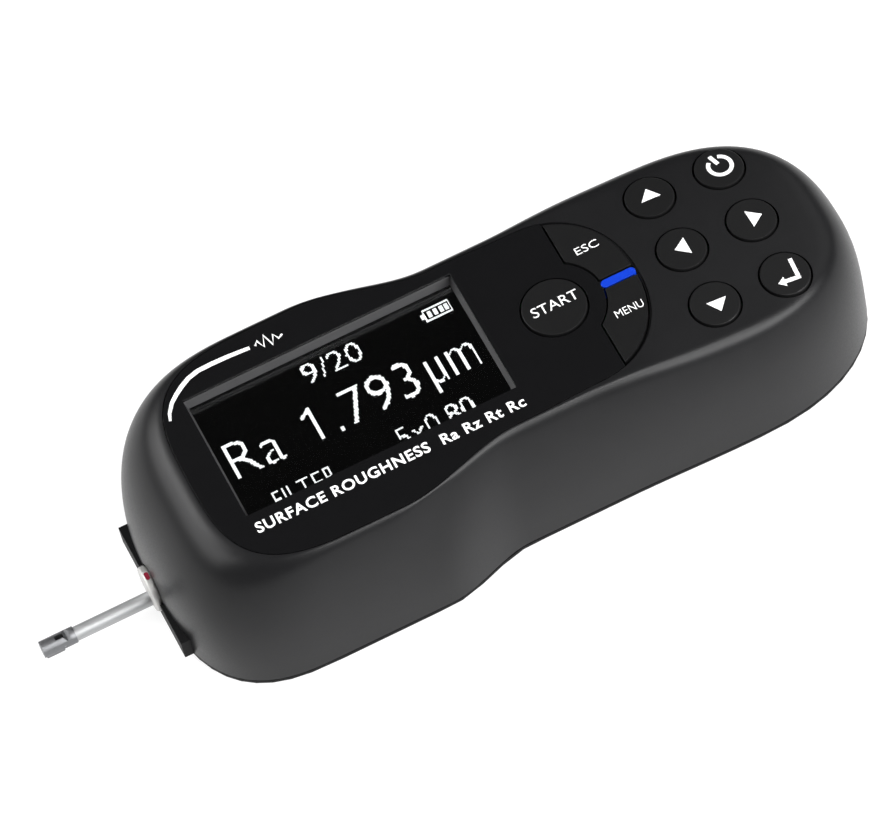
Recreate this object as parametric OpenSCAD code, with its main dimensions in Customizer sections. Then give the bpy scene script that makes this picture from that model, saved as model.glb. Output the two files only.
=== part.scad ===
// Hand-held surface roughness tester with a traversing pick-up.
// The pick-up points along -X, the keypad is at +X, and the base rests on Z = 0.

/* [Housing] */
// Length of the housing without the pick-up
body_len = 158; // [150:1:172]
// Height of the face plate above the base
body_h = 35.9; // [34:0.1:40]
// Widest part of the housing, beside the display
front_w = 62.8; // [60:0.2:68]
// Width of the housing at the waist
waist_w = 53.2; // [51:0.2:56]
// Width of the housing at the keypad
rear_w = 54.4; // [52:0.2:58]
// Side wall of the housing
wall = 2.2; // [1.6:0.1:2.8]
// Thickness of the housing roof
roof = 3; // [2.6:0.1:3.6]
// Height of the seam between the housing and the lower cover
seam_z = 2; // [1.8:0.1:3]
// Radius of the crown across the keypad
crown_r = 260; // [180:5:400]
// Fall of the keypad towards the rear
keypad_fall = 0.0165; // [0.01:0.0005:0.024]

/* [Face plate] */
// Thickness of the face plate
plate_t = 0.8; // [0.6:0.1:1]
// Distance from the front of the housing to the face plate
plate_setback = 13.4; // [12:0.1:16]
// Width of the face plate beside the display
plate_w = 53.6; // [52:0.2:55]
// Width of the face plate at the start key
plate_neck_w = 40.8; // [40:0.2:42]
// Reach of the face plate behind the start key
plate_reach = 18.5; // [18:0.1:20]

/* [Display] */
// Length of the display opening
window_len = 59.6; // [54:0.2:60]
// Height of the display opening across the housing
window_w = 31.1; // [28:0.1:32]
// Distance from the front of the housing to the display opening
window_setback = 20.2; // [19:0.1:22]
// Shift of the display opening to the far side
window_shift = 2.5; // [0:0.1:3]
// Depth of the sloping display frame
bezel_h = 1.9; // [1.4:0.1:2.2]
// Inward slope of the display frame over its depth
bezel_slope = 0.7; // [0.4:0.1:1.2]
// Thickness of the clear window
glass_t = 1; // [0.8:0.1:1.4]
// Thickness of the display panel
panel_t = 2.5; // [2:0.1:3]

/* [Keys] */
// Distance from the rear of the housing to the start key
start_setback = 63.4; // [62:0.1:66]
// Diameter of the start key
start_d = 13.4; // [12:0.1:14]
// Radius of the arc that the two side keys follow round the start key
side_key_arc = 10.45; // [10:0.05:11]
// Distance from the start key centre to the straight edge of the side keys
side_key_x = 6.2; // [5.5:0.1:7]
// Width of the status light
light_w = 1.9; // [1.4:0.1:2.2]
// Diameter of the round keys
key_d = 10.2; // [9:0.1:10.8]
// Spacing of the round keys along the housing
key_pitch_x = 15.6; // [15:0.1:16.4]
// Spacing of the round keys across the housing
key_pitch_y = 14.8; // [14.6:0.1:15.2]
// Distance from the rear of the housing to the rear row of round keys
key_setback = 19.3; // [18.5:0.1:20]
// Height of a key above the surface round it
key_proud = 0.4; // [0.2:0.05:0.7]
// Travel of every key
key_travel = 0.6; // [0.4:0.05:0.8]
// Gap round every key
key_gap = 0.4; // [0.25:0.05:0.5]

/* [Pick-up] */
// Height of the pick-up barrel above the base
barrel_z = 6.2; // [6:0.1:7]
// Diameter of the pick-up flange
flange_d = 9.8; // [9:0.1:10]
// Diameter of the pick-up barrel
barrel_d = 9; // [8:0.1:9]
// Length of the pick-up barrel behind its flange
barrel_len = 28; // [24:0.5:30]
// Drop of the pick-up tube below the barrel axis
tube_drop = 3.2; // [2.8:0.1:3.3]
// Diameter of the pick-up tube
tube_d = 3.1; // [2.6:0.1:3.2]
// Length of the pick-up tube in front of its flange
tube_len = 18; // [14:0.5:22]
// Diameter of the head at the pick-up tip
head_d = 3.6; // [3.4:0.1:3.8]
// Length of the head at the pick-up tip
head_len = 6.2; // [5.5:0.1:8]
// Stroke of the pick-up
stroke = 17.5; // [12:0.5:17.5]

/* [Drive] */
// Diameter of the guide rods
rod_d = 3; // [2.5:0.1:3.5]
// Half the spacing of the guide rods
rod_y = 9.5; // [9.2:0.1:10]
// Height of the guide rods above the base
rod_z = 9.5; // [9:0.1:10.5]
// Diameter of the lead screw
screw_d = 3; // [2.5:0.1:3.5]
// Height of the lead screw above the base
screw_z = 15.5; // [15.2:0.1:16.5]
// Length of the carriage along the guide rods
carriage_len = 12; // [10:0.5:13]

/* [Fits] */
// Running clearance of rods and screws, on the radius
run_fit = 0.05; // [0.02:0.01:0.09]
// Clearance between moulded pieces
mould_fit = 0.15; // [0.1:0.05:0.2]
// Clearance of parts that move past each other
move_fit = 0.4; // [0.3:0.05:0.5]

/* [Hidden] */
$fn = 48;
far = 80;

// Main stations along the housing
front_x = -body_len / 2;
rear_x = body_len / 2;
start_x = rear_x - start_setback;
key_rear_x = rear_x - key_setback;
key_front_x = key_rear_x - key_pitch_x;

// Outlines as front tip, front arc centre, front power, front half width, start and end of the step,
// waist half width, start and end of the rear growth, rear half width, rear arc centre, rear tip, rear power
step_from = front_x + 52;
step_to = front_x + 72;
grow_from = start_x;
grow_to = start_x + 27;
seam_line = [front_x, front_x + 27.4, 2.85, front_w / 2, step_from, step_to, waist_w / 2,
  grow_from, grow_to, rear_w / 2, rear_x - 34.6, rear_x, 2.35];
edge_in = 4.1;
waist_in = 5.5;
rear_in = 7;
front_roll = 12.3;
rear_roll = 11.6;
edge_line = [front_x + front_roll, front_x + 39.8, 3.2, front_w / 2 - edge_in, step_from - 3, step_to + 4,
  waist_w / 2 - waist_in, grow_from, grow_to, rear_w / 2 - rear_in, rear_x - 36.6, rear_x - rear_roll,
    3.2];
plate_line = [front_x + plate_setback, front_x + 40.8, 3.3, plate_w / 2, step_from - 3, step_to + 4,
  plate_neck_w / 2 + 0.5, start_x - 15, start_x, plate_neck_w / 2, start_x, start_x + plate_reach, 2.2];
arc_steps = 11;
side_steps = 18;
half_count = 2 * arc_steps + side_steps + 1;
ring_count = 2 * (half_count - 1);

function mix(a, b, t) = a + (b - a) * t;
function ease(a, b, x) = let (t = max(0, min(1, (x - a) / (b - a)))) t * t * (3 - 2 * t);

// Half width of an outline, without the rounding at its ends
function half_width(o, x) = x < o[5]
  ? mix(o[3], o[6], ease(o[4], o[5], x))
  : mix(o[6], o[9], ease(o[7], o[8], x));

// Point on the rounded end of an outline, at an angle from its tip
function end_point(o, inset, centre, tip, power, angle) =
  let (x = centre + (tip - centre) * pow(cos(angle), 2 / power))
  [x, (half_width(o, x) - inset) * pow(sin(angle), 2 / power)];

// One side of an outline, from the rear tip to the front tip
function half_outline(o, inset) = concat(
  [for (i = [0:arc_steps - 1]) end_point(o, inset, o[10], o[11] - inset, o[12], 90 * i / arc_steps)],
  [for (i = [0:side_steps - 1]) let (x = mix(o[10], o[1], i / side_steps)) [x, half_width(o, x) - inset]],
  [for (i = [0:arc_steps]) end_point(o, inset, o[1], o[0] + inset, o[2], 90 * (1 - i / arc_steps))]);

// The whole closed outline
function outline(o, inset) = let (h = half_outline(o, inset))
  concat(h, [for (i = [half_count - 2:-1:1]) [h[i][0], -h[i][1]]]);

// Half width of the seam where it rounds the ends
function seam_y(x) = let (o = seam_line)
  x > o[10] ? half_width(o, x) * pow(1 - pow((x - o[10]) / (o[11] - o[10]), o[12]), 1 / o[12])
  : x < o[1] ? half_width(o, x) * pow(1 - pow((o[1] - x) / (o[1] - o[0]), o[2]), 1 / o[2])
  : half_width(o, x);

// Height of the roof: flat round the face plate, crowned and falling at the keypad
crown_from = start_x + 2;
crown_to = start_x + 25;
fall_from = start_x + 10.5;
function roof_z(x, y) = body_h - keypad_fall * pow(max(0, x - fall_from), 1.4)
  - ease(crown_from, crown_to, x) * y * y / (2 * crown_r);

// Power of the curve from wall to roof, rounder at the nose than at the keypad
function roll_power(x) = mix(2.15, 3.4, ease(start_x - 5, grow_to, x));

// Closed skin from the seam up to the roof, drawn in by an inset for the inside
module skin(inset, drop, from_z, angles, columns) {
  low = outline(seam_line, inset);
  high = outline(edge_line, inset);
  n = ring_count;
  last = (len(angles) - 1) * n;
  walls = [for (a = angles) for (i = [0:n - 1])
    let (q = 2 / roll_power(high[i][0]), f = 1 - pow(cos(a), q))
    let (x = mix(low[i][0], high[i][0], f), y = mix(low[i][1], high[i][1], f))
    [x, y, mix(from_z, roof_z(x, y) - drop, pow(sin(a), q))]];
  roof_points = [for (i = [1:half_count - 2]) for (j = [1:columns - 1])
    let (y = high[i][1] * (1 - 2 * j / columns)) [high[i][0], y, roof_z(high[i][0], y) - drop]];
  function cell(i, j) = i == 0 || i == half_count - 1 || j == 0 ? last + i
    : j == columns ? last + n - i
    : last + n + (i - 1) * (columns - 1) + j - 1;
  sides = [for (k = [0:len(angles) - 2]) for (i = [0:n - 1])
    let (a = k * n + i, b = k * n + (i + 1) % n) each [[a, a + n, b + n], [a, b + n, b]]];
  floors = [for (i = [0:half_count - 2])
    i == 0 ? [0, 1, n - 1]
    : i == half_count - 2 ? [i, i + 1, n - i]
    : [i, i + 1, n - i - 1, n - i]];
  roofs = [for (i = [0:half_count - 2]) for (j = [0:columns - 1]) each
    i == 0 ? [[last, cell(1, j + 1), cell(1, j)]]
    : i == half_count - 2 ? [[cell(i, j), cell(i, j + 1), last + half_count - 1]]
    : [[cell(i, j), cell(i, j + 1), cell(i + 1, j + 1)], [cell(i, j), cell(i + 1, j + 1), cell(i + 1,
      j)]]];
  polyhedron(concat(walls, roof_points), concat(floors, sides, roofs), convexity = 6);
}

// Heights of the display stack and of the boards
plate_floor = body_h - plate_t;
deck_z = body_h - roof;
glass_top = plate_floor - bezel_h;
panel_top = glass_top - glass_t;
board_t = 1.6;
display_board_top = panel_top - panel_t;
window_x = front_x + window_setback;
frame_edge = 1;
frame_len = window_len + 2 * frame_edge;
frame_w = window_w + 2 * frame_edge;

// Round keys: one flange level for all six, below the lowest part of the roof
flange_t = 1;
flange_out = 0.7;
key_flange_d = key_d + 2 * key_gap + 2 * flange_out;
nub_d = 4;
nub_h = 0.6;
switch_h = 1.3;
switch_w = 5;
keys_xy = [for (x = [key_front_x, key_rear_x]) for (y = [key_pitch_y, 0, -key_pitch_y]) [x, y]];
collar_drop = 2;
keypad_flange_z = roof_z(key_rear_x + key_d / 2, key_pitch_y + key_d / 2) - roof - collar_drop;
keypad_board_top = keypad_flange_z - flange_t - nub_h - key_travel - run_fit - switch_h;
collar_t = 1.5;
deck_flange_z = roof_z(start_x + side_key_x, plate_neck_w / 2) - roof - key_gap / 2;
start_switch_top = deck_flange_z - flange_t - nub_h - key_travel - run_fit;

// Pick-up stations
flange_t_x = 1.4;
flange_x = front_x - 1.3;
flange_bevel = 0.3;
barrel_end = flange_x + flange_t_x + barrel_len;
plug_d = 6;
plug_len = 6;
tube_z = barrel_z - tube_drop;
tube_tip = flange_x - tube_len;
head_tip = tube_tip - head_len;
tube_in = 4;
// Red mark let into the top of the flange's rim
dot_w = 0.9;
dot_len = 1.9;
dot_deep = 0.6;
dot_out = 0.05;

// Drive stations
wall_t = 2.5;
carriage_x = barrel_end + mould_fit;
carriage_end = carriage_x + carriage_len;
drive_front = carriage_x - move_fit - 3.5 - wall_t;
drive_rear = carriage_end + stroke + 4.5;
coupling_len = 8;
coupling_d = 7;
motor_wall = drive_rear + wall_t + coupling_len + 3;
motor_x = motor_wall + wall_t;
motor_len = 24;
motor_w = 12;
motor_h = 10;
shaft_d = 2;
nut_d = 6;
rail_in = 7.5;
rail_out = 16;
rail_t = 1.6;
boss_r = 3.2;
sensor_len = 4;
sensor_h = 7;

// Boards, battery and screws
battery_x = motor_x + motor_len + 3;
battery_len = 34;
battery_w = 30;
post_d = 5;
stack_gap = 2.2;
socket_x = battery_x + battery_len / 2;
socket_w = 7.6;
socket_h = 3.2;
main_board_z = keypad_board_top - 2 * board_t - stack_gap - socket_h;
battery_h = main_board_z - seam_z - stack_gap;
main_posts = [for (x = [battery_x + 3, battery_x + battery_len - 5]) for (y = [-1, 1])
  [x, y * (battery_w / 2 + 3.6)]];
display_posts = [[window_x + window_len + 4.4, 12], [window_x + window_len + 4.4, -12],
  [window_x + 9, window_shift - frame_w / 2 - 3.5], [window_x + 14, window_shift + frame_w / 2 + 2.6]];
keypad_posts = [for (y = [-0.5, 0.5]) [(key_front_x + key_rear_x) / 2, y * key_pitch_y]];
small_screw_d = 2;
small_head_d = 3.6;
small_head_h = 1.3;
small_screw_len = 5;
screw_post_d = 6;
cover_post_h = 15;
cover_screw_d = 2.8;
cover_head_d = 5;
cover_head_h = 1.1;
cover_screw_len = 10;
cover_posts = [for (x = [front_x + 21, rear_x - 13]) for (s = [-1, 1])
  [x, s * (seam_y(x) - wall - screw_post_d / 2 + 0.8)]];

// Nose plate: two lugs through the front of the housing, joined by a plate behind its wall
nose_w = 31.4;
nose_top = seam_z + 5.4;
nose_out = 0.6;
nose_plate_x = front_x + wall + 2.4;
nose_plate_t = 2;
nose_plate_top = barrel_z + flange_d / 2 + 2.4;

// Shape helpers
module at_axis_x(x, y, z) { translate([x, y, z]) rotate([0, 90, 0]) children(); }
module rod_x(x, y, z, d, len) { at_axis_x(x, y, z) cylinder(d = d, h = len); }
module block(x, y, z, len, w, h) { translate([x, y - w / 2, z]) cube([len, w, h]); }
module plate_shape(inset) { polygon(outline(plate_line, inset)); }

// Side key shape: outside the arc round the start key and inside the end of the face plate
module side_key_shape(gap, edge_gap) {
  difference() {
    intersection() {
      plate_shape(edge_gap);
      translate([start_x + side_key_x + gap, light_w / 2 + gap]) square(far);
    }
    translate([start_x, 0]) circle(side_key_arc + gap);
  }
}
module light_shape(gap) {
  from = start_x + side_key_arc + light_w / 2;
  to = start_x + plate_reach - light_w / 2 - key_gap;
  for (x = [from, to]) translate([x, 0]) circle(light_w / 2 + gap);
  translate([from, -light_w / 2 - gap]) square([to - from, light_w + 2 * gap]);
}
// Four sided funnel with sloping walls
module funnel(len, w, slope, h) {
  points = [for (k = [0, 1]) for (c = [[0, 0], [1, 0], [1, 1], [0, 1]])
    let (s = slope * (1 - k)) [mix(s, len - s, c[0]), mix(s, w - s, c[1]), k * h]];
  polyhedron(points, [[0, 1, 2, 3], [4, 7, 6, 5], [0, 4, 5, 1], [1, 5, 6, 2], [2, 6, 7, 3], [3, 7, 4,
    0]]);
}

module upper_housing() {
  color("#2e2e2e") difference() {
    union() {
      difference() {
        skin(0, 0, seam_z, [0, 10, 22, 36, 50, 62, 72, 81, 90], 6);
        skin(wall, roof, seam_z - 1, [0, 24, 48, 68, 90], 4);
      }
      for (p = keys_xy) translate([p[0], p[1], keypad_flange_z + key_gap])
        cylinder(d = key_d + 2 * key_gap + 2 * collar_t, h = roof_z(p[0], p[1]) - roof - keypad_flange_z);
      for (p = keypad_posts) translate([p[0], p[1], keypad_board_top])
        cylinder(d = post_d, h = roof_z(p[0], p[1]) - keypad_board_top - 1);
      for (p = display_posts) translate([p[0], p[1], display_board_top])
        cylinder(d = post_d - 1, h = deck_z + 1 - display_board_top);
      for (p = cover_posts) translate([p[0], p[1], seam_z])
        cylinder(d = screw_post_d, h = cover_post_h);
    }
    translate([0, 0, plate_floor]) linear_extrude(far) plate_shape(-mould_fit);
    block(window_x - frame_edge - mould_fit, window_shift, deck_z - 1,
      frame_len + 2 * mould_fit, frame_w + 2 * mould_fit, far);
    translate([start_x, 0, deck_z - 1]) cylinder(d = start_d + 2 * key_gap, h = far);
    for (s = [0, 1]) mirror([0, s, 0]) translate([0, 0, deck_z - 1])
      linear_extrude(far) side_key_shape(0, mould_fit);
    translate([0, 0, deck_z - 1]) linear_extrude(far) light_shape(mould_fit);
    for (p = keys_xy) translate([p[0], p[1], keypad_flange_z - 1])
      cylinder(d = key_d + 2 * key_gap, h = far);
    for (p = keys_xy) translate([p[0], p[1], keypad_flange_z - flange_t - key_travel - move_fit])
      cylinder(d = key_flange_d + 2 * move_fit, h = flange_t + key_travel + move_fit + key_gap);
    for (p = keypad_posts) translate([p[0], p[1], keypad_board_top - 1])
      cylinder(d = small_screw_d + 2 * run_fit, h = small_screw_len);
    for (p = display_posts) translate([p[0], p[1], display_board_top - 1])
      cylinder(d = small_screw_d + 2 * run_fit, h = small_screw_len);
    for (p = cover_posts) translate([p[0], p[1], seam_z - 1])
      cylinder(d = cover_screw_d + 2 * run_fit, h = cover_screw_len + 1);
    block(front_x - far, 0, seam_z - 1, far + nose_plate_x - front_x + mould_fit, nose_w + 2 * mould_fit,
      nose_top - seam_z + 1 + mould_fit);
    rod_x(front_x - far, 0, barrel_z, flange_d + 2 * move_fit, far + 16);
    translate([socket_x - socket_w / 2 - mould_fit, 0, main_board_z + board_t - mould_fit])
      cube([socket_w + 2 * mould_fit, far, socket_h + 2 * mould_fit]);
  }
}

foot_h = 1.1;
foot_in = 1.8;
lip_h = 2.6;
lip_t = 1.4;
rib_t = 1.2;
rib_h = 4;
module lower_cover() {
  color("#161616") difference() {
    union() {
      linear_extrude(foot_h + 0.1) polygon(outline(seam_line, foot_in));
      translate([0, 0, foot_h]) linear_extrude(seam_z - foot_h) polygon(outline(seam_line, 0));
      translate([0, 0, foot_h]) linear_extrude(seam_z - foot_h + lip_h) difference() {
        polygon(outline(seam_line, wall + 2 * mould_fit));
        polygon(outline(seam_line, wall + 2 * mould_fit + lip_t));
        translate([front_x - far, -nose_w / 2 - mould_fit]) square([far + 20, nose_w + 2 * mould_fit]);
      }
      for (p = main_posts) translate([p[0], p[1], foot_h])
        cylinder(d = post_d, h = main_board_z - foot_h);
      translate([battery_x, 0, foot_h]) battery_ribs();
    }
    rod_x(front_x - far, 0, barrel_z, flange_d + 2 * move_fit,
      carriage_end + stroke + move_fit - front_x + far);
    for (p = cover_posts) translate([p[0], p[1], -1]) {
      cylinder(d = cover_screw_d + 2 * mould_fit, h = far);
      cylinder(d = cover_head_d + 2 * mould_fit, h = cover_head_h + 1);
      translate([0, 0, seam_z + 1]) cylinder(d = screw_post_d + 2 * mould_fit, h = far);
    }
    for (p = main_posts) translate([p[0], p[1], main_board_z - small_screw_len])
      cylinder(d = small_screw_d + 2 * run_fit, h = far);
  }
}
// Four corner ribs that hold the battery in place
module battery_ribs() {
  for (sx = [0, 1]) for (sy = [-1, 1]) {
    x = sx == 0 ? -mould_fit - rib_t : battery_len + mould_fit;
    translate([x, sy * (battery_w / 2 - 4) - 4, 0]) cube([rib_t, 8, seam_z - foot_h + rib_h]);
  }
}

module nose_plate() {
  color("#141414") difference() {
    union() {
      block(front_x - nose_out, 0, seam_z, nose_plate_x - front_x + nose_out + 0.1, nose_w,
        nose_top - seam_z);
      block(nose_plate_x, 0, seam_z, nose_plate_t, nose_w - 4, nose_plate_top - seam_z);
    }
    rod_x(front_x - far, 0, barrel_z, flange_d + 2 * move_fit, 2 * far);
  }
}

module face_plate() {
  color("#1b1b1b") translate([0, 0, plate_floor]) linear_extrude(plate_t) difference() {
    plate_shape(0);
    translate([window_x, window_shift - window_w / 2]) square([window_len, window_w]);
    translate([start_x, 0]) circle(d = start_d + 2 * key_gap);
    for (s = [0, 1]) mirror([0, s]) side_key_shape(0, -1);
    light_shape(mould_fit);
    translate([start_x + side_key_arc + light_w, -light_w / 2 - mould_fit])
      square([far, light_w + 2 * mould_fit]);
  }
}

module display_bezel() {
  color("#555555") difference() {
    block(window_x - frame_edge, window_shift, glass_top, frame_len, frame_w, bezel_h);
    translate([window_x, window_shift - window_w / 2, glass_top])
      funnel(window_len, window_w, bezel_slope, bezel_h);
  }
}
module display_window() {
  color("#202428", 0.5) block(window_x - frame_edge, window_shift, panel_top, frame_len, frame_w,
    glass_t);
}
module display_panel() {
  color("#050505") block(window_x - frame_edge, window_shift, display_board_top, frame_len, frame_w,
    panel_t);
}
board_in = 1.5;
module display_board() {
  x = window_x - frame_edge;
  key_part = start_x + plate_reach - 2 - x;
  color("#1f5a34") difference() {
    union() {
      block(x, window_shift, display_board_top - board_t, frame_len + board_in, frame_w + 4.6, board_t);
      block(x, 0, display_board_top - board_t, key_part, plate_neck_w - 7, board_t);
      for (p = display_posts) translate([p[0], p[1], display_board_top - board_t])
        cylinder(d = post_d + 1.4, h = board_t);
    }
    for (p = display_posts) translate([p[0], p[1], display_board_top - board_t - 1])
      cylinder(d = small_screw_d + 2 * mould_fit, h = far);
  }
}

// A key for the deck below the face plate: cap, retaining flange and switch nub
module start_key() {
  color("#222222") translate([start_x, 0, 0]) {
    translate([0, 0, deck_flange_z - 0.1])
      cylinder(d = start_d, h = body_h + key_proud - deck_flange_z + 0.1);
    translate([0, 0, deck_flange_z - flange_t])
      cylinder(d = start_d + 2 * key_gap + 2 * flange_out, h = flange_t);
    translate([0, 0, deck_flange_z - flange_t - nub_h]) cylinder(d = nub_d, h = nub_h + 0.1);
  }
}
side_nub = [start_x + side_key_arc + 3, 6.8];
module side_key() {
  color("#222222") {
    translate([0, 0, deck_flange_z - 0.1]) linear_extrude(body_h + key_proud / 2 - deck_flange_z + 0.1)
      side_key_shape(key_gap, key_gap + mould_fit);
    translate([0, 0, deck_flange_z - flange_t]) linear_extrude(flange_t) intersection() {
      side_key_shape(-flange_out / 2, key_gap + mould_fit);
      translate([0, light_w / 2 + 2 * mould_fit]) square([far, plate_neck_w / 2 - 5]);
    }
    translate([side_nub[0], side_nub[1], deck_flange_z - flange_t - nub_h])
      cylinder(d = nub_d, h = nub_h + 0.1);
  }
}
module esc_key() { side_key(); }
module menu_key() { mirror([0, 1, 0]) side_key(); }
module status_light() {
  color("#1450e0") translate([0, 0, display_board_top])
    linear_extrude(body_h - display_board_top) light_shape(0);
}

// A round key whose top follows the crown of the roof
module round_key(p) {
  slope_x = (roof_z(p[0] + 1, p[1]) - roof_z(p[0] - 1, p[1])) / 2;
  slope_y = (roof_z(p[0], p[1] + 1) - roof_z(p[0], p[1] - 1)) / 2;
  color("#242424") translate([p[0], p[1], 0]) {
    difference() {
      translate([0, 0, keypad_flange_z - 0.1]) cylinder(d = key_d, h = body_h - keypad_flange_z + 2);
      translate([0, 0, roof_z(p[0], p[1]) + key_proud]) rotate([atan(slope_y), -atan(slope_x), 0])
        translate([-key_d, -key_d, 0]) cube([2 * key_d, 2 * key_d, far]);
    }
    translate([0, 0, keypad_flange_z - flange_t]) cylinder(d = key_flange_d, h = flange_t);
    translate([0, 0, keypad_flange_z - flange_t - nub_h]) cylinder(d = nub_d, h = nub_h + 0.1);
  }
}
module right_key() { round_key(keys_xy[0]); }
module up_key() { round_key(keys_xy[1]); }
module left_key() { round_key(keys_xy[2]); }
module power_key() { round_key(keys_xy[3]); }
module down_key() { round_key(keys_xy[4]); }
module enter_key() { round_key(keys_xy[5]); }

module keypad_board() {
  edge = key_d / 2 + 1.5;
  color("#1f5a34") difference() {
    block(key_front_x - edge, 0, keypad_board_top - board_t, key_pitch_x + 2 * edge - 1.5,
      2 * key_pitch_y + 7, board_t);
    for (p = keypad_posts) translate([p[0], p[1], keypad_board_top - board_t - 1])
      cylinder(d = small_screw_d + 2 * mould_fit, h = far);
  }
}
module switch_at(p, top, h) {
  translate([p[0] - switch_w / 2, p[1] - switch_w / 2, top - h]) cube([switch_w, switch_w, h]);
}
module key_switches() {
  color("#c8c8c8") {
    for (p = keys_xy) switch_at(p, keypad_board_top + switch_h, switch_h);
    h = start_switch_top - display_board_top;
    switch_at([start_x, 0], start_switch_top, h);
    for (s = [-1, 1]) switch_at([side_nub[0], s * side_nub[1]], start_switch_top, h);
  }
}

module main_board() {
  x = battery_x - 1;
  color("#1f5a34") difference() {
    block(x, 0, main_board_z, battery_len - 1, battery_w + 12.6, board_t);
    for (p = main_posts) translate([p[0], p[1], main_board_z - 1])
      cylinder(d = small_screw_d + 2 * mould_fit, h = far);
  }
}
module charge_socket() {
  depth = rear_w / 2 - 1.2 - battery_w / 2 - 2;
  color("#b4b4b8") difference() {
    translate([socket_x - socket_w / 2, battery_w / 2 + 2, main_board_z + board_t])
      cube([socket_w, depth, socket_h]);
    translate([socket_x - socket_w / 2 + 0.5, battery_w / 2 + 6, main_board_z + board_t + 0.5])
      cube([socket_w - 1, depth, socket_h - 1]);
  }
}
module battery_pack() {
  corner = 3;
  color("#3b5f8a") translate([battery_x, 0, seam_z]) linear_extrude(battery_h) union() {
    for (x = [corner, battery_len - corner]) for (s = [-1, 1])
      translate([x, s * (battery_w / 2 - corner)]) circle(corner);
    translate([0, -battery_w / 2 + corner]) square([battery_len, battery_w - 2 * corner]);
    translate([corner, -battery_w / 2]) square([battery_len - 2 * corner, battery_w]);
  }
}

// Frame of the drive: two rails on the floor and three cross walls
module drive_frame() {
  top = screw_z + motor_h / 2 + 1;
  color("#8c8f94") difference() {
    union() {
      for (s = [-1, 1])
        block(drive_front, s * (rail_in + rail_out) / 2, seam_z, motor_x - drive_front,
          rail_out - rail_in, rail_t);
      for (x = [drive_front, drive_rear, motor_wall])
        block(x, 0, seam_z, wall_t, 2 * rail_out, top - seam_z);
    }
    rod_x(drive_front - 1, 0, barrel_z, flange_d + 2 * move_fit, wall_t + 2);
    block(drive_front - 1, 0, seam_z - 1, wall_t + 2, flange_d + 2 * move_fit - 2, barrel_z - seam_z);
    for (s = [-1, 1]) rod_x(drive_front - 1, s * rod_y, rod_z, rod_d + 2 * run_fit,
      drive_rear - drive_front + wall_t + 2);
    rod_x(drive_front - 1, 0, screw_z, screw_d + 2 * run_fit, drive_rear - drive_front + wall_t + 2);
    rod_x(motor_wall - 1, 0, screw_z, coupling_d - 1, wall_t + 2);
  }
}
module guide_rods() {
  color("#d8d8da") for (s = [-1, 1])
    rod_x(drive_front, s * rod_y, rod_z, rod_d, drive_rear + wall_t - drive_front);
}
module lead_screw() {
  color("#b9b9bd") rod_x(drive_front + 0.5, 0, screw_z, screw_d,
    drive_rear + wall_t + 4.5 - drive_front - 0.5);
}
module shaft_coupling() {
  x = drive_rear + wall_t + 0.5;
  color("#c9a24a") difference() {
    rod_x(x, 0, screw_z, coupling_d, coupling_len);
    rod_x(x - 1, 0, screw_z, screw_d, 5);
    rod_x(x, 0, screw_z, shaft_d, coupling_len + 1);
  }
}
module motor_shaft() {
  x = drive_rear + wall_t + 4.7;
  color("#d8d8da") rod_x(x, 0, screw_z, shaft_d, motor_x + 1.5 - x);
}
module gear_motor() {
  gear_len = 9;
  color("#a9abb0") difference() {
    union() {
      block(motor_x, 0, screw_z - motor_h / 2, gear_len, motor_w, motor_h);
      intersection() {
        rod_x(motor_x + gear_len - 0.1, 0, screw_z, motor_w, motor_len - gear_len + 0.1);
        block(motor_x, 0, screw_z - motor_h / 2, motor_len, motor_w, motor_h);
      }
    }
    rod_x(motor_x - 1, 0, screw_z, shaft_d + 2 * run_fit, 3);
  }
}
module end_sensors() {
  sensor_in = rod_y + boss_r + 2 * move_fit;
  color("#111111") for (x = [drive_front + wall_t, drive_rear - sensor_len])
    block(x, (sensor_in + rail_out) / 2, seam_z + rail_t, sensor_len, rail_out - sensor_in, sensor_h);
}

module carriage() {
  top = screw_z + nut_d / 2 + 1.2;
  color("#3f4347") difference() {
    union() {
      block(carriage_x, 0, seam_z + move_fit, carriage_len, 2 * rail_in - 2 * move_fit - 1.4,
        top - seam_z - move_fit);
      block(carriage_x, 0, rod_z - boss_r, carriage_len, 2 * (rod_y + boss_r), 2 * boss_r);
    }
    for (s = [-1, 1]) rod_x(carriage_x - 1, s * rod_y, rod_z, rod_d + 2 * run_fit, carriage_len + 2);
    rod_x(carriage_x - 1, 0, screw_z, nut_d, carriage_len + 2);
    rod_x(carriage_x - 1, 0, barrel_z, plug_d + 2.4, carriage_len + 2);
  }
}
module drive_nut() {
  color("#c9a24a") difference() {
    rod_x(carriage_x, 0, screw_z, nut_d, carriage_len);
    rod_x(carriage_x - 1, 0, screw_z, screw_d + 2 * run_fit, carriage_len + 2);
  }
}
module pickup_socket() {
  color("#e6e2d8") difference() {
    rod_x(carriage_x, 0, barrel_z, plug_d + 2.4, carriage_len);
    rod_x(carriage_x - 1, 0, barrel_z, plug_d + 2 * run_fit, plug_len + 1.5);
  }
}
module pickup_barrel() {
  color("#c4c6c9") difference() {
    at_axis_x(flange_x, 0, barrel_z) rotate_extrude() polygon([[0, 0], [flange_d / 2 - flange_bevel, 0],
      [flange_d / 2, flange_bevel],
      [flange_d / 2, flange_t_x], [barrel_d / 2, flange_t_x], [barrel_d / 2, flange_t_x + barrel_len],
      [plug_d / 2, flange_t_x + barrel_len], [plug_d / 2, flange_t_x + barrel_len + plug_len],
      [0, flange_t_x + barrel_len + plug_len]]);
    rod_x(flange_x - 1, 0, tube_z, tube_d + 0.04, tube_in + 1);
    dot_slug(0.02);
  }
}
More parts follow.
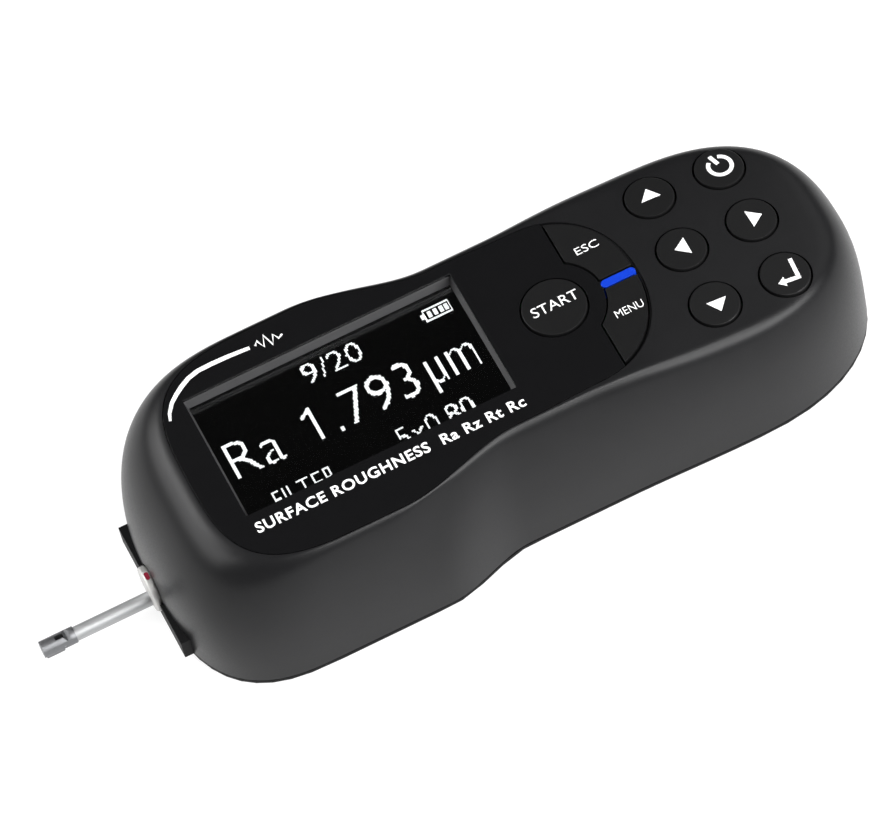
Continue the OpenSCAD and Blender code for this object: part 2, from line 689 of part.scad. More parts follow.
// Upright slug with round ends, across the middle of the rim
module dot_slug(gap) {
  half = (dot_len - dot_w) / 2;
  translate([flange_x + (flange_bevel + flange_t_x) / 2, 0, barrel_z + flange_d / 2 - dot_deep])
    linear_extrude(2 * dot_deep) {
      for (y = [-half, half]) translate([0, y]) circle(dot_w / 2 + gap);
      translate([-dot_w / 2 - gap, -half]) square([dot_w + 2 * gap, 2 * half]);
    }
}
module alignment_dot() {
  color("#b01030") intersection() {
    dot_slug(0);
    rod_x(flange_x, 0, barrel_z, flange_d + 2 * dot_out, flange_t_x);
  }
}
module pickup_tube() {
  color("#d8d8da") difference() {
    rod_x(tube_tip, 0, tube_z, tube_d, tube_len + tube_in);
    rod_x(tube_tip - 1, 0, tube_z, tube_d - 1, tube_len + tube_in + 2);
  }
}

// Head with the skid: a sleeve with a slot for the stylus arm and a curved foot below
skid_r = 45;
skid_out = 0.45;
skid_w = 2.2;
slot_w = 1;
pin_d = 0.6;
pin_x = tube_tip - 1.6;
tip_x = head_tip + 2.2;
module skid_head() {
  grip = 1.2;
  color("#8f9296") difference() {
    union() {
      rod_x(head_tip, 0, tube_z, head_d, head_len + grip);
      intersection() {
        translate([head_tip + 2.4, 0, tube_z - head_d / 2 - skid_out + skid_r]) rotate([90, 0, 0])
          cylinder(r = skid_r, h = skid_w, center = true, $fn = 96);
        block(head_tip + 0.4, 0, tube_z - head_d / 2 - skid_out, 4, skid_w, head_d / 2);
      }
    }
    rod_x(tube_tip, 0, tube_z, tube_d, head_len);
    rod_x(head_tip + 0.8, 0, tube_z, 1.8, head_len);
    block(tip_x - 0.8, 0, tube_z - head_d, 1.6, slot_w, head_d);
    translate([pin_x, 0, tube_z]) rotate([90, 0, 0]) cylinder(d = pin_d + 0.04, h = far, center = true);
    translate([tube_tip - 0.7, 0, tube_z + head_d / 2]) rotate([0, 45, 0])
      cube([1.1, far, 1.1], center = true);
  }
}
module stylus_arm() {
  color("#707378") difference() {
    union() {
      rod_x(tip_x - 0.5, 0, tube_z, 0.9, tube_tip + 5 - tip_x);
      translate([pin_x, 0, tube_z]) rotate([90, 0, 0]) cylinder(d = 1.4, h = slot_w - 0.2, center = true);
    }
    translate([pin_x, 0, tube_z]) rotate([90, 0, 0])
      cylinder(d = pin_d + 2 * run_fit, h = far, center = true);
    translate([tip_x, 0, tube_z - 2]) cylinder(d = 0.64, h = 2);
  }
}
module stylus_tip() {
  low = tube_z - head_d / 2 - skid_out - 0.15;
  color("#3a3f48") {
    translate([tip_x, 0, low + 0.3]) cylinder(d = 0.6, h = tube_z - low - 0.35);
    translate([tip_x, 0, low]) cylinder(d1 = 0.04, d2 = 0.6, h = 0.3);
  }
}
module stylus_pin() {
  color("#d8d8da") translate([pin_x, 0, tube_z]) rotate([90, 0, 0])
    cylinder(d = pin_d, h = head_d - 0.3, center = true);
}

// Screws that hold the boards, heads below the boards hung from the roof and above the main board
module small_screw() {
  cylinder(d = small_head_d, h = small_head_h);
  translate([0, 0, small_head_h - 0.1]) cylinder(d = small_screw_d, h = board_t + small_screw_len - 1.5);
}
module board_screws() {
  color("#c0c0c4") {
    for (p = display_posts) translate([p[0], p[1],
      display_board_top - board_t - small_head_h]) small_screw();
    for (p = keypad_posts) translate([p[0], p[1],
      keypad_board_top - board_t - small_head_h]) small_screw();
    for (p = main_posts) translate([p[0], p[1], main_board_z + board_t + small_head_h]) mirror([0, 0,
      1]) small_screw();
  }
}
module housing_screws() {
  color("#9a9aa0") for (p = cover_posts) translate([p[0], p[1], 0.1]) difference() {
    union() {
      cylinder(d = cover_head_d, h = cover_head_h - 0.1);
      cylinder(d = cover_screw_d, h = seam_z + cover_screw_len - 1);
    }
    for (a = [0, 90]) rotate(a) translate([-1.5, -0.4, -1]) cube([3, 0.8, 1.6]);
  }
}

upper_housing();
lower_cover();
nose_plate();
face_plate();
display_bezel();
display_window();
display_panel();
display_board();
start_key();
esc_key();
menu_key();
status_light();
right_key();
power_key();
up_key();
down_key();
left_key();
enter_key();
keypad_board();
key_switches();
main_board();
charge_socket();
battery_pack();
drive_frame();
guide_rods();
lead_screw();
shaft_coupling();
motor_shaft();
gear_motor();
end_sensors();
carriage();
drive_nut();
pickup_socket();
pickup_barrel();
alignment_dot();
pickup_tube();
skid_head();
stylus_arm();
stylus_tip();
stylus_pin();
board_screws();
housing_screws();
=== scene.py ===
import math

import bmesh
import bpy
from mathutils import Matrix, Vector
from mathutils.bvhtree import BVHTree


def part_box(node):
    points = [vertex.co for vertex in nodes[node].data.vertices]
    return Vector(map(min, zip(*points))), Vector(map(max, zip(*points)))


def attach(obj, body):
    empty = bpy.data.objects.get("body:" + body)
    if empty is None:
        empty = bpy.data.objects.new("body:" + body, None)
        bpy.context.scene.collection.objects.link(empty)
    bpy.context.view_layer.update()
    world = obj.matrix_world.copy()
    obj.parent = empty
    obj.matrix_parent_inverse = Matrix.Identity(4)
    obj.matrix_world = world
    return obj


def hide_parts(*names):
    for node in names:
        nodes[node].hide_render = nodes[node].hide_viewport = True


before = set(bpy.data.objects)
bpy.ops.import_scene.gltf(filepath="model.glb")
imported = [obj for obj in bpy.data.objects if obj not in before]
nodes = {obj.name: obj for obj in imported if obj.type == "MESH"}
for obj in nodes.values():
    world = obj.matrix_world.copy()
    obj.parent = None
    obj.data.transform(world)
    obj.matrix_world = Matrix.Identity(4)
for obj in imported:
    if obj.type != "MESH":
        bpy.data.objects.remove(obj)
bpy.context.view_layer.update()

mm = 0.001
scene = bpy.context.scene


# sRGB hex to the linear colour that Blender's sockets take
def hexColour(text):
    parts = [int(text[i:i + 2], 16) / 255 for i in (1, 3, 5)]
    return tuple(c / 12.92 if c <= 0.04045 else ((c + 0.055) / 1.055) ** 2.4 for c in parts) + (1.0,)


# one node, with its settings, its values and its links
def put(tree, kind, inputs=None, **settings):
    node = tree.nodes.new(kind)
    for name, value in settings.items():
        setattr(node, name, value)
    for socket, value in (inputs or {}).items():
        if isinstance(value, bpy.types.NodeSocket):
            tree.links.new(value, node.inputs[socket])
        else:
            node.inputs[socket].default_value = value
    return node


# an empty material with its shader, and the Object coordinates in metres
def freshMaterial(name):
    material = bpy.data.materials.new(name)
    material.use_nodes = True
    tree = material.node_tree
    tree.nodes.clear()
    shader = put(tree, "ShaderNodeBsdfPrincipled")
    put(tree, "ShaderNodeOutputMaterial", {"Surface": shader.outputs[0]})
    place = put(tree, "ShaderNodeTexCoord").outputs["Object"]
    return material, tree, shader, place


# moulded or printed plastic and rubber: clouds 6 mm across, uneven gloss and a grain in the surface
# two tones, grain and relief in mm, least and most roughness, IOR and specular level
def mouldedFinish(name, dark, light, grain, depth, smooth, rough, ior=1.5, shine=0.5):
    material, tree, shader, place = freshMaterial(name)
    cloud = put(tree, "ShaderNodeTexNoise", {"Vector": place, "Scale": 1 / (6 * mm), "Detail": 3.0})
    tone = put(tree, "ShaderNodeMix",
               {0: cloud.outputs["Fac"], 6: hexColour(dark), 7: hexColour(light)}, data_type="RGBA")
    spark = put(tree, "ShaderNodeTexNoise",
                {"Vector": place, "Scale": 1 / (grain * mm), "Detail": 2.0, "Roughness": 0.6})
    gloss = put(tree, "ShaderNodeMapRange", {"Value": spark.outputs["Fac"], "From Min": 0.3, "From Max": 0.7,
                                             "To Min": smooth, "To Max": rough})
    relief = put(tree, "ShaderNodeBump",
                 {"Height": spark.outputs["Fac"], "Strength": 0.5, "Distance": depth * mm})
    tree.links.new(tone.outputs[2], shader.inputs["Base Color"])
    tree.links.new(gloss.outputs[0], shader.inputs["Roughness"])
    tree.links.new(relief.outputs[0], shader.inputs["Normal"])
    shader.inputs["IOR"].default_value = ior
    shader.inputs["Specular IOR Level"].default_value = shine
    return material


# drawn, turned or ground metal: tool lines along or round one axis, which break up the gloss
# two tones, lines per mm along x, y and z, relief in mm, least and most roughness
def machinedFinish(name, dark, light, lines, depth, smooth, rough):
    material, tree, shader, place = freshMaterial(name)
    stretched = put(tree, "ShaderNodeMapping", {"Vector": place, "Scale": lines})
    marks = put(tree, "ShaderNodeTexNoise",
                {"Vector": stretched.outputs[0], "Scale": 1 / mm, "Detail": 3.0})
    tone = put(tree, "ShaderNodeMix",
               {0: marks.outputs["Fac"], 6: hexColour(dark), 7: hexColour(light)}, data_type="RGBA")
    gloss = put(tree, "ShaderNodeMapRange", {"Value": marks.outputs["Fac"], "From Min": 0.3, "From Max": 0.7,
                                             "To Min": smooth, "To Max": rough})
    relief = put(tree, "ShaderNodeBump",
                 {"Height": marks.outputs["Fac"], "Strength": 0.3, "Distance": depth * mm})
    tree.links.new(tone.outputs[2], shader.inputs["Base Color"])
    tree.links.new(gloss.outputs[0], shader.inputs["Roughness"])
    tree.links.new(relief.outputs[0], shader.inputs["Normal"])
    shader.inputs["Metallic"].default_value = 1.0
    return material


# a lit or printed mark: even colour with the slight unevenness of ink or of a lamp behind it; glow is a
# lamp's own light on lit marks and painted light on printed ink
def markFinish(name, dark, light, rough, glow):
    material, tree, shader, place = freshMaterial(name)
    cloud = put(tree, "ShaderNodeTexNoise", {"Vector": place, "Scale": 1 / (1.5 * mm), "Detail": 2.0})
    tone = put(tree, "ShaderNodeMix",
               {0: cloud.outputs["Fac"], 6: hexColour(dark), 7: hexColour(light)}, data_type="RGBA")
    tree.links.new(tone.outputs[2], shader.inputs["Base Color"])
    shader.inputs["Roughness"].default_value = rough
    if glow:
        tree.links.new(tone.outputs[2], shader.inputs["Emission Color"])
        shader.inputs["Emission Strength"].default_value = glow
    return material


finish = {
    # ABS from a spark-eroded mould: satin black; its grain of 0.35 mm is coarser than real so that it shows
    "housing": mouldedFinish("satinAbsHousing", "#131314", "#171718", 0.35, 0.012, 0.29, 0.38, 1.285),
    # the same ABS as a black base moulding, made darker and with a weaker reflection than plain ABS: painted
    # shade for the contact shadow where the base and the nose lugs meet the floor
    "cover": mouldedFinish("blackAbsCoverPaintedShade", "#070708", "#0a0a0b", 0.35, 0.012, 0.50, 0.62, 1.40, 0.2),
    # polycarbonate overlay, printed black on its back: smoother and deeper than the housing
    "face": mouldedFinish("blackPolycarbonateOverlay", "#0c0c0d", "#0f0f10", 0.25, 0.003, 0.22, 0.27,
                          1.42, 0.35),
    # grey ABS frame inside the window
    "bezel": mouldedFinish("greyAbsFrame", "#303031", "#363637", 0.3, 0.008, 0.45, 0.55),
    # silicone rubber keys: dull, with a faint bloom
    "key": mouldedFinish("blackSiliconeKey", "#0f0f10", "#131313", 0.3, 0.010, 0.36, 0.46, 1.30),
    # acetal of the drive frame, the carriage and the stylus arm: waxy black
    "frame": mouldedFinish("blackAcetalFrame", "#2b2d2f", "#34373a", 0.6, 0.010, 0.38, 0.48),
    # tinplate housings of switches and sockets
    "switch": machinedFinish("tinplateSwitch", "#a8a9ac", "#c0c1c4", (0.6, 3.0, 3.0), 0.004, 0.30, 0.42),
    "socket": machinedFinish("tinnedSocketShell", "#9fa0a3", "#b9babd", (0.6, 3.0, 3.0), 0.004, 0.28, 0.40),
    # drawn stainless tube: bright, with fine lines along its length
    "steel": machinedFinish("drawnStainlessTube", "#a6a7a8", "#bcbdbe", (0.25, 4.0, 4.0), 0.004, 0.50, 0.62),
    # burnished tool steel of the skid sleeve: greyer than the tube
    "darkSteel": machinedFinish("burnishedToolSteel", "#6e6f71", "#8a8b8d", (1.5, 3.0, 3.0), 0.004,
                                0.44, 0.56),
    # black oxide on the heads of the housing's screws
    "screw": machinedFinish("blackOxideScrew", "#0c0c0d", "#161617", (3.0, 3.0, 3.0), 0.004, 0.45, 0.58),
    # turned satin nickel of the pick-up body: rings round its axis
    "nickel": machinedFinish("turnedSatinNickel", "#c6c5c3", "#dddcda", (5.0, 0.4, 0.4), 0.006, 0.50, 0.62),
    # turned brass of the nut and the coupling
    "brass": machinedFinish("turnedBrass", "#b08a3c", "#cba552", (5.0, 0.4, 0.4), 0.005, 0.26, 0.38),
    # white screen-printed ink: flat and slightly uneven, with a faint painted glow that makes it brighter
    # than the lamps alone would
    "ink": markFinish("whiteScreenInkPaintedGlow", "#e2e2e2", "#f0f0f0", 0.55, 0.16),
    # lit white dots of the display
    "lit": markFinish("whiteDisplayLight", "#eef2f2", "#ffffff", 0.5, 0.9),
    # blue acrylic light pipe, lit from below
    "light": markFinish("blueAcrylicLight", "#0630a8", "#0939b8", 0.3, 0.03),
    # red enamel filled into the alignment mark
    "dot": markFinish("redEnamelDot", "#8a0a2c", "#9c0f34", 0.35, 0.0),
}


# glass-fibre board: green solder mask over tracks 2.2 mm apart, paler where copper lies under it
def boardFinish():
    material, tree, shader, place = freshMaterial("greenSolderMask")
    tracks = put(tree, "ShaderNodeTexBrick",
                 {"Vector": place, "Scale": 1 / (2.2 * mm), "Mortar Size": 0.16,
                  "Color1": hexColour("#1c5230"), "Color2": hexColour("#174628"),
                  "Mortar": hexColour("#2b7444")}, offset=0.35)
    relief = put(tree, "ShaderNodeBump",
                 {"Height": tracks.outputs["Fac"], "Strength": 0.4, "Distance": 0.03 * mm})
    tree.links.new(tracks.outputs["Color"], shader.inputs["Base Color"])
    tree.links.new(relief.outputs[0], shader.inputs["Normal"])
    shader.inputs["Roughness"].default_value = 0.32
    return material


# heat-shrunk PVC sleeve of the battery: glossy blue with soft wrinkles
def batteryFinish():
    material, tree, shader, place = freshMaterial("blueShrinkSleeve")
    folds = put(tree, "ShaderNodeTexWave",
                {"Vector": place, "Scale": 1 / (9 * mm), "Distortion": 6.0, "Detail": 2.0})
    tone = put(tree, "ShaderNodeMix",
               {0: folds.outputs["Fac"], 6: hexColour("#2f5480"), 7: hexColour("#3a6396")}, data_type="RGBA")
    relief = put(tree, "ShaderNodeBump",
                 {"Height": folds.outputs["Fac"], "Strength": 0.25, "Distance": 0.1 * mm})
    tree.links.new(tone.outputs[2], shader.inputs["Base Color"])
    tree.links.new(relief.outputs[0], shader.inputs["Normal"])
    shader.inputs["Roughness"].default_value = 0.28
    return material


# clear acrylic window with a faint wipe haze
def windowFinish():
    material, tree, shader, place = freshMaterial("clearAcrylicWindow")
    haze = put(tree, "ShaderNodeTexNoise", {"Vector": place, "Scale": 1 / (14 * mm), "Detail": 2.0})
    gloss = put(tree, "ShaderNodeMapRange", {"Value": haze.outputs["Fac"], "To Min": 0.0, "To Max": 0.06})
    tree.links.new(gloss.outputs[0], shader.inputs["Roughness"])
    shader.inputs["Base Color"].default_value = hexColour("#fbfcfc")
    shader.inputs["Transmission Weight"].default_value = 1.0
    shader.inputs["IOR"].default_value = 1.49
    shader.inputs["Specular IOR Level"].default_value = 0.15  # coated against glare
    return material


# dark display glass with its grid of unlit dots, 0.33 mm apart
def panelFinish():
    material, tree, shader, place = freshMaterial("blackDisplayGlass")
    dots = put(tree, "ShaderNodeTexBrick",
               {"Vector": place, "Scale": 1 / (0.66 * mm), "Mortar Size": 0.04, "Brick Width": 0.5,
                "Row Height": 0.5, "Color1": hexColour("#020202"), "Color2": hexColour("#030303"),
                "Mortar": hexColour("#010101")}, offset=0.0)
    tree.links.new(dots.outputs["Color"], shader.inputs["Base Color"])
    shader.inputs["Roughness"].default_value = 0.12
    shader.inputs["Specular IOR Level"].default_value = 0.15
    return material


finish["board"] = boardFinish()
finish["battery"] = batteryFinish()
finish["window"] = windowFinish()
finish["screen"] = panelFinish()
print("finishes made:", len(finish))


def vertsOf(geom):
    return [g for g in geom if isinstance(g, bmesh.types.BMVert)]


def edgesOf(geom):
    return [g for g in geom if isinstance(g, bmesh.types.BMEdge)]


# a bmesh becomes a piece that rides on a body and stands for CAD nodes, which it hides
def makePiece(name, bm, look, body, stands=(), crease=32):
    mesh = bpy.data.meshes.new(name)
    bm.to_mesh(mesh)
    bm.free()
    mesh.shade_smooth()
    mesh.set_sharp_from_angle(angle=math.radians(crease))
    mesh.materials.append(finish[look])
    piece = bpy.data.objects.new(name, mesh)
    scene.collection.objects.link(piece)
    flat = piece.modifiers.new("flatFaces", "WEIGHTED_NORMAL")  # large faces stay flat beside rounded edges
    flat.keep_sharp = True
    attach(piece, body)
    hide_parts(*stands)


def roundEdges(bm, edges, radius):
    bmesh.ops.bevel(bm, geom=list(edges), offset=radius * mm, offset_type="OFFSET", affect="EDGES",
                    segments=2, profile=0.5, material=-1, clamp_overlap=True)


# a CAD node's mesh with its triangles merged, ready for its edges to be rounded
def cadCopy(node):
    bm = bmesh.new()
    bm.from_mesh(nodes[node].data)
    bmesh.ops.remove_doubles(bm, verts=bm.verts, dist=0.003 * mm)
    bmesh.ops.dissolve_degenerate(bm, edges=bm.edges, dist=0.001 * mm)
    bmesh.ops.dissolve_limit(bm, angle_limit=math.radians(0.4), verts=bm.verts, edges=bm.edges)
    return bm


def sharpEdges(bm, degrees):
    limit = math.radians(degrees)
    return [e for e in bm.edges if len(e.link_faces) == 2 and e.calc_face_angle(0) > limit]


# Housing: one smooth skin over the seam line and the roof's edge, then walls, pocket and openings, in mm
housing = {
    "front": -79.0, "rear": 79.0, "start": 15.6, "seam": 2.0, "lip": 0.25, "top": 35.9, "wall": 2.2,
    "frontHalf": 31.4, "waistHalf": 26.6, "rearHalf": 27.2,
    # behind the start key the roof falls towards the rear and gets a crown across
    "fall": 0.0165, "fallFrom": 10.5, "fallPower": 1.4, "crown": 260.0, "crownFrom": 2, "crownTo": 25,
    # powers of the curve from wall to roof, at the front and at the rear
    "topRolls": (1.75, 3.4), "footRolls": (2.65, 3.4), "rollFrom": 5,
    "arcSteps": 26, "sideSteps": 56, "rollSteps": 22, "roofCell": 2.4, "roofReach": (68, 28),
    # room for the face plate, the keys, the charging socket, the pick-up and the nose plate
    "plateDeep": 0.8, "plateGap": 0.15, "plateLedge": 0.3, "openDeep": 9, "clear": 4,
    "keyHole": 5.5, "keyHoleAt": 36, "keyHoleDeep": 20, "socketGap": 0.15, "socketOut": 9,
    "boreAt": (-75, 0, 6.2), "boreRadius": 5.3, "boreLong": 30,
    "noseLow": (-90, -15.85, 0), "noseHigh": (-74.25, 15.85, 7.55),
}
h = housing
stepFrom = h["front"] + 52  # the housing narrows behind the window from here to there
stepTo = h["front"] + 72
growTo = h["start"] + 27
seamLine = {
    "frontTip": h["front"], "frontArc": h["front"] + 27.4, "frontPower": 2.85, "frontHalf": h["frontHalf"],
    "stepFrom": stepFrom, "stepTo": stepTo, "waistHalf": h["waistHalf"],
    "growFrom": h["start"], "growTo": growTo, "rearHalf": h["rearHalf"],
    "rearArc": h["rear"] - 34.6, "rearTip": h["rear"], "rearPower": 2.35,
}
edgeLine = {
    "frontTip": h["front"] + 13.2, "frontArc": h["front"] + 40.6, "frontPower": 3.25,
    "frontHalf": h["frontHalf"] - 4.4, "stepFrom": stepFrom - 3, "stepTo": stepTo + 4,
    "waistHalf": h["waistHalf"] - 5.5, "growFrom": h["start"], "growTo": growTo,
    "rearHalf": h["rearHalf"] - 7, "rearArc": h["rear"] - 36.6, "rearTip": h["rear"] - 11.6,
    "rearPower": 3.2,
}
plateLine = {
    "frontTip": h["front"] + 13.4, "frontArc": h["front"] + 40.8, "frontPower": 3.3, "frontHalf": 26.8,
    "stepFrom": stepFrom - 3, "stepTo": stepTo + 4, "waistHalf": 20.9,
    "growFrom": h["start"] - 15, "growTo": h["start"], "rearHalf": 20.4,
    "rearArc": h["start"], "rearTip": h["start"] + 18.5, "rearPower": 2.2,
}
ringHalf = 2 * h["arcSteps"] + h["sideSteps"]
ringCount = 2 * ringHalf


def blend(a, b, t):
    return a + (b - a) * t


def ease(a, b, x):
    t = max(0.0, min(1.0, (x - a) / (b - a)))
    return t * t * (3 - 2 * t)


def halfWidth(line, x):
    if x < line["stepTo"]:
        return blend(line["frontHalf"], line["waistHalf"], ease(line["stepFrom"], line["stepTo"], x))
    return blend(line["waistHalf"], line["rearHalf"], ease(line["growFrom"], line["growTo"], x))


# point on one side of an outline: index runs from 0 at the rear tip to ringHalf at the front tip
def outlinePoint(line, inset, index):
    arc, side = h["arcSteps"], h["sideSteps"]
    if arc <= index < arc + side:
        x = blend(line["rearArc"], line["frontArc"], (index - arc) / side)
        return x, halfWidth(line, x) - inset
    if index < arc:
        turn = math.pi / 2 * (index / arc)
        centre, tip, power = line["rearArc"], line["rearTip"] - inset, line["rearPower"]
    else:
        turn = math.pi / 2 * (1 - (index - arc - side) / arc)
        centre, tip, power = line["frontArc"], line["frontTip"] + inset, line["frontPower"]
    x = centre + (tip - centre) * max(0.0, math.cos(turn)) ** (2 / power)
    return x, (halfWidth(line, x) - inset) * max(0.0, math.sin(turn)) ** (2 / power)


def ringPoint(line, inset, index):
    if index <= ringHalf:
        return outlinePoint(line, inset, index)
    x, y = outlinePoint(line, inset, ringCount - index)
    return x, -y


def roofHeight(x, y):
    fall = h["fall"] * max(0.0, x - h["start"] - h["fallFrom"]) ** h["fallPower"]
    crown = ease(h["start"] + h["crownFrom"], h["start"] + h["crownTo"], x) * y * y / (2 * h["crown"])
    return h["top"] - fall - crown


# a closed ring of edges in an outline's shape; each vertex is numbered and keeps its number when extruded
def ringOf(bm, line, inset, z):
    number = bm.verts.layers.int.get("number") or bm.verts.layers.int.new("number")
    ring = bmesh.ops.create_circle(bm, segments=ringCount, radius=mm)["verts"]
    for i, v in enumerate(ring):
        v[number] = i
        x, y = ringPoint(line, inset, i)
        v.co = Vector((x, y, z)) * mm
    return list({e for v in ring for e in v.link_edges})


# an outline as a solid block between two heights, for cutting
def outlineBlock(bm, line, inset, low, high):
    face = bmesh.ops.contextual_create(bm, geom=ringOf(bm, line, inset, low))["faces"]
    raised = bmesh.ops.extrude_face_region(bm, geom=face)["geom"]
    bmesh.ops.translate(bm, verts=vertsOf(raised), vec=(0, 0, (high - low) * mm))


def roundBlock(bm, centre, radius, length, axis="z"):
    turn = Matrix.Rotation(math.pi / 2, 4, "Y") if axis == "x" else Matrix.Identity(4)
    bmesh.ops.create_cone(bm, cap_ends=True, segments=72, radius1=radius * mm, radius2=radius * mm,
                          depth=length * mm, matrix=Matrix.Translation(Vector(centre) * mm) @ turn)


def boxBlock(bm, low, high):
    low, high = Vector(low), Vector(high)
    size = Matrix.Diagonal(((high - low) * mm).to_4d())
    size[3][3] = 1
    bmesh.ops.create_cube(bm, size=1, matrix=Matrix.Translation((low + high) / 2 * mm) @ size)


# the result of a modifier stack, as a new bmesh
def baked(bm, addModifiers):
    mesh = bpy.data.meshes.new("work")
    bm.to_mesh(mesh)
    bm.free()
    work = bpy.data.objects.new("work", mesh)
    scene.collection.objects.link(work)
    spare = addModifiers(work)
    graph = bpy.context.evaluated_depsgraph_get()
    result = bmesh.new()
    result.from_mesh(work.evaluated_get(graph).to_mesh())
    for old in [work] + spare:
        bpy.data.objects.remove(old)
    return result


def cutAway(bm, *cutters):
    def cuts(work):
        spare = []
        for cutter in cutters:
            bmesh.ops.recalc_face_normals(cutter, faces=cutter.faces)
            mesh = bpy.data.meshes.new("cutter")
            cutter.to_mesh(mesh)
            cutter.free()
            tool = bpy.data.objects.new("cutter", mesh)
            scene.collection.objects.link(tool)
            step = work.modifiers.new("cut", "BOOLEAN")
            step.operation = "DIFFERENCE"
            step.solver = "MANIFOLD"
            step.object = tool
            spare.append(tool)
        return spare
    return baked(bm, cuts)


# the open skin: the seam's ring, extruded in steps up and in to the roof's edge, and closed by the roof
def housingSkin():
    bm = bmesh.new()
    edges = ringOf(bm, seamLine, h["lip"], h["seam"])
    number = bm.verts.layers.int["number"]
    for i in range(h["rollSteps"] + 1):
        angle = math.pi / 2 * i / h["rollSteps"]
        grown = bmesh.ops.extrude_edge_only(bm, edges=edges)["geom"]
        fresh = set(vertsOf(grown))
        for v in fresh:
            x0, y0 = ringPoint(seamLine, 0, v[number])
            x1, y1 = ringPoint(edgeLine, 0, v[number])
            along = ease(h["start"] - h["rollFrom"], growTo, x1)
            inward = 1 - max(0.0, math.cos(angle)) ** (2 / blend(*h["topRolls"], along))
            upward = math.sin(angle) ** (2 / blend(*h["footRolls"], along))
            x, y = blend(x0, x1, inward), blend(y0, y1, inward)
            v.co = Vector((x, y, blend(h["seam"] + h["lip"], roofHeight(x, y), upward))) * mm
        edges = [e for e in edgesOf(grown) if fresh.issuperset(e.verts)]
    # the roof: one face, cut into cells that follow its crown
    roof = bmesh.ops.contextual_create(bm, geom=edges)["faces"]
    for normal, reach in zip(((1, 0, 0), (0, 1, 0)), h["roofReach"]):
        at = -reach
        while at < reach:
            at += h["roofCell"]
            geom = roof + list({e for f in roof for e in f.edges}) + list({v for f in roof for v in f.verts})
            cut = bmesh.ops.bisect_plane(bm, geom=geom, dist=1e-7, plane_co=Vector(normal) * at * mm,
                                         plane_no=normal)
            roof = list({g for g in cut["geom"] if isinstance(g, bmesh.types.BMFace)})
    for v in {v for f in roof for v in f.verts}:
        v.co.z = roofHeight(v.co.x / mm, v.co.y / mm) * mm
    bmesh.ops.recalc_face_normals(bm, faces=bm.faces)
    if roof[0].normal.z < 0:  # an open skin can come out inside out
        bmesh.ops.reverse_faces(bm, faces=bm.faces)
    return bm


def thickWall(work):
    wall = work.modifiers.new("wall", "SOLIDIFY")
    wall.thickness = h["wall"] * mm
    wall.offset = -1
    wall.use_even_offset = True
    wall.use_rim = True
    return []


keyPlaces = {"right": (44.1, 14.8), "up": (44.1, 0.0), "left": (44.1, -14.8),
             "power": (59.7, 14.8), "down": (59.7, 0.0), "enter": (59.7, -14.8)}
skin = baked(housingSkin(), thickWall)
pocket, openings, nose = bmesh.new(), bmesh.new(), bmesh.new()
outlineBlock(pocket, plateLine, -h["plateGap"], h["top"] - h["plateDeep"], h["top"] + h["clear"])
outlineBlock(openings, plateLine, h["plateLedge"], h["top"] - h["openDeep"], h["top"] + h["clear"])
for x, y in keyPlaces.values():
    roundBlock(openings, (x, y, h["keyHoleAt"]), h["keyHole"], h["keyHoleDeep"])
socketLow, socketHigh = (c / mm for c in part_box("charge_socket"))
gap = h["socketGap"]
boxBlock(openings, socketLow - Vector((gap, 0, gap)), socketHigh + Vector((gap, h["socketOut"], gap)))
roundBlock(openings, h["boreAt"], h["boreRadius"], h["boreLong"], "x")
boxBlock(nose, h["noseLow"], h["noseHigh"])
shell = cutAway(skin, pocket, openings, nose)
makePiece("housingShell", shell, "housing", "tester", ["upper_housing"], 28)
print("housing skin made")

# Pieces that keep their CAD form and get rounded edges: finish, radius in mm, least edge angle, body and slot
rounded = {
    "lower_cover": ("baseCover", "cover", 0.18, 40, "tester", "cover"),
    "nose_plate": ("noseLugs", "cover", 0.25, 40, "tester", "cover"),
    "face_plate": ("facePlate", "face", 0.14, 50, "tester", "face"),
    "display_bezel": ("windowFrame", "bezel", 0.10, 30, "tester", "bezel"),
    "start_key": ("startKey", "key", 0.30, 50, "start_key_body", "key"),
    "esc_key": ("escKey", "key", 0.22, 50, "esc_key_body", "key"),
    "menu_key": ("menuKey", "key", 0.22, 50, "menu_key_body", "key"),
    "status_light": ("statusLight", "light", 0.12, 50, "tester", "light"),
    "pickup_barrel": ("pickupBody", "nickel", 0.15, 40, "pickup_carriage", "steel"),
    "pickup_tube": ("pickupTube", "steel", 0.08, 40, "pickup_carriage", "steel"),
    "skid_head": ("skidHead", "darkSteel", 0.06, 40, "pickup_carriage", "dark_steel"),
}
for key in keyPlaces:
    rounded[key + "_key"] = (key + "Key", "key", 0.30, 50, key + "_key_body", "key")
headSlot = {"from": 3.2, "to": 5.0, "wide": 1.0, "floor": 3.2}  # slot on top of the head, over the stylus arm
for node, (name, look, radius, degrees, body, slot) in rounded.items():
    bm = cadCopy(node)
    if node == "skid_head":
        low, high = (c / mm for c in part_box(node))
        cutter = bmesh.new()
        boxBlock(cutter, (low.x + headSlot["from"], -headSlot["wide"] / 2, headSlot["floor"]),
                 (low.x + headSlot["to"], headSlot["wide"] / 2, high.z + 1))
        bm = cutAway(bm, cutter)
    roundEdges(bm, sharpEdges(bm, degrees), radius)
    makePiece(name, bm, look, body, [node])
print("rounded pieces made:", len(rounded))

# Window pane: a thin slab over the display, clear of it by more than the lit marks' thickness
pane = {"gap": 0.1, "lift": 0.2, "round": 0.15}
low, high = (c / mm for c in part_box("display_window"))
bm = bmesh.new()
boxBlock(bm, low + Vector((pane["gap"], pane["gap"], pane["lift"])),
         high - Vector((pane["gap"], pane["gap"], 0)))
roundEdges(bm, bm.edges[:], pane["round"])
makePiece("windowPane", bm, "window", "tester", ["display_window"])


